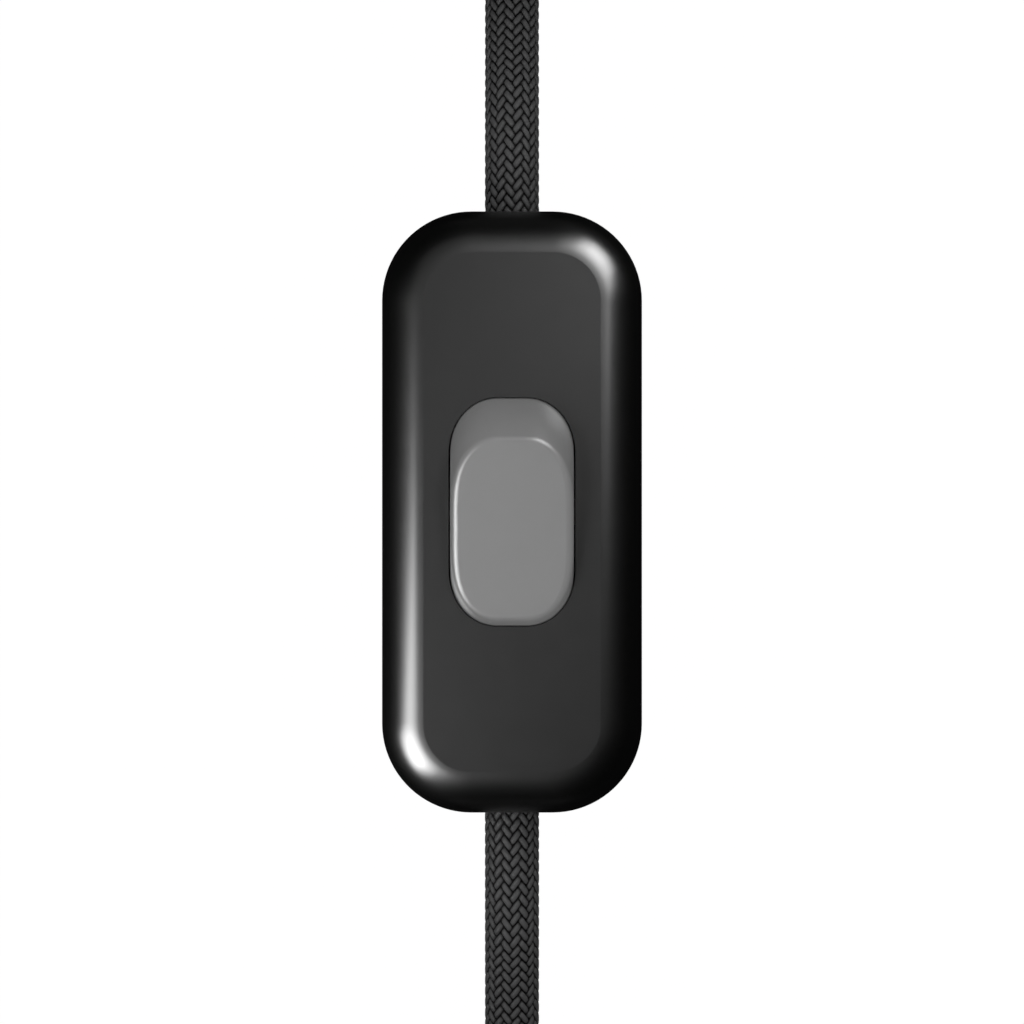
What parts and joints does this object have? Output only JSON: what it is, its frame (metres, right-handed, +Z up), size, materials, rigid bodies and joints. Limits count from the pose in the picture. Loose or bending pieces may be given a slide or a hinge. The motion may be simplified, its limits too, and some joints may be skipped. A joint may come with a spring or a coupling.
{
  "type": "inline cord switch",
  "caption": "Inline rocker switch in an oval two-part housing on a round braided mains cord, with a flat plug on one lead and a stripped lamp end on the other.",
  "frame": {"origin": "middle of the housing's underside, the flat face that it lies on", "axes": "+Z up through the rocker, +Y along the cord towards the plug, +X to the right as seen from above with the plug away from the viewer"},
  "size_m": [0.0446, 0.4029, 0.0275],
  "materials": {
    "housing_plastic": "polished black moulding",
    "rocker_plastic": "satin grey moulding",
    "steel": "zinc plated",
    "spring_steel": "bright spring wire",
    "brass": "stamped sheet",
    "contact_silver": "silver alloy rivet",
    "copper": "bare stranded copper",
    "cord_braid": "dark grey textile braid",
    "core_brown": "core insulation",
    "core_blue": "core insulation",
    "plug_plastic": "moulded on the cord",
    "tie_band": "thin band",
    "plunger_plastic": "low-friction moulding",
    "ferrule_metal": "tinned"
  },
  "bodies": {
    "housing": {"top_cover": "housing_plastic", "base_shell": "housing_plastic", "case_screws": "steel", "supply_cord_saddle": "steel", "lamp_cord_saddle": "steel", "saddle_screws": "steel", "supply_terminal_live": "brass", "supply_terminal_neutral": "brass", "lamp_terminal_live": "brass", "lamp_terminal_neutral": "brass", "fixed_contacts": "contact_silver", "terminal_clamps": "brass", "terminal_screws": "steel", "wire_ends": "copper", "supply_core_live": "core_brown", "supply_core_neutral": "core_blue", "lamp_core_live": "core_brown", "lamp_core_neutral": "core_blue", "supply_cord_lead": "cord_braid", "supply_hank": "cord_braid", "supply_hank_ties": "tie_band", "supply_cord_tail": "cord_braid", "plug_strain_relief": "plug_plastic", "plug_body": "plug_plastic", "plug_pins": "steel", "lamp_cord_lead": "cord_braid", "lamp_hank": "cord_braid", "lamp_hank_ties": "tie_band", "lamp_cord_tail": "cord_braid", "lamp_end_sleeve": "tie_band", "lamp_end_core_live": "core_brown", "lamp_end_core_neutral": "core_blue", "lamp_end_ferrules": "ferrule_metal"},
    "rocker": {"rocker_button": "rocker_plastic", "plunger_spring_live": "spring_steel", "plunger_spring_neutral": "spring_steel"},
    "live_plunger": {"plunger_live": "plunger_plastic"},
    "neutral_plunger": {"plunger_neutral": "plunger_plastic"},
    "live_blade": {"contact_blade_live": "brass", "moving_contact_live": "contact_silver"},
    "neutral_blade": {"contact_blade_neutral": "brass", "moving_contact_neutral": "contact_silver"}
  },
  "joints": [
    {"name": "rocker_tilt", "type": "hinge", "parent": "housing", "child": "rocker", "pos_m": [0, 0, 0.015], "axis": [1, 0, 0], "range_deg": [-24, 0]},
    {"name": "live_blade_tilt", "type": "hinge", "parent": "housing", "child": "live_blade", "pos_m": [0.0042, 0, 0.0069], "axis": [1, 0, 0], "range_deg": [0, 20]},
    {"name": "neutral_blade_tilt", "type": "hinge", "parent": "housing", "child": "neutral_blade", "pos_m": [-0.0042, 0, 0.0069], "axis": [1, 0, 0], "range_deg": [0, 20]},
    {"name": "live_plunger_slide", "type": "slide", "parent": "rocker", "child": "live_plunger", "axis": [0, -0.2079, 0.9781], "range_m": [0, 0.0006], "stiffness_N_per_m": 500, "springref_m": -0.001, "deforming": ["plunger_spring_live"]},
    {"name": "neutral_plunger_slide", "type": "slide", "parent": "rocker", "child": "neutral_plunger", "axis": [0, -0.2079, 0.9781], "range_m": [0, 0.0006], "stiffness_N_per_m": 500, "springref_m": -0.001, "deforming": ["plunger_spring_neutral"]}
  ],
  "couplings": [
    {"joint": "live_blade_tilt", "follows": "rocker_tilt", "ratio": -0.8333},
    {"joint": "neutral_blade_tilt", "follows": "rocker_tilt", "ratio": -0.8333}
  ]
}
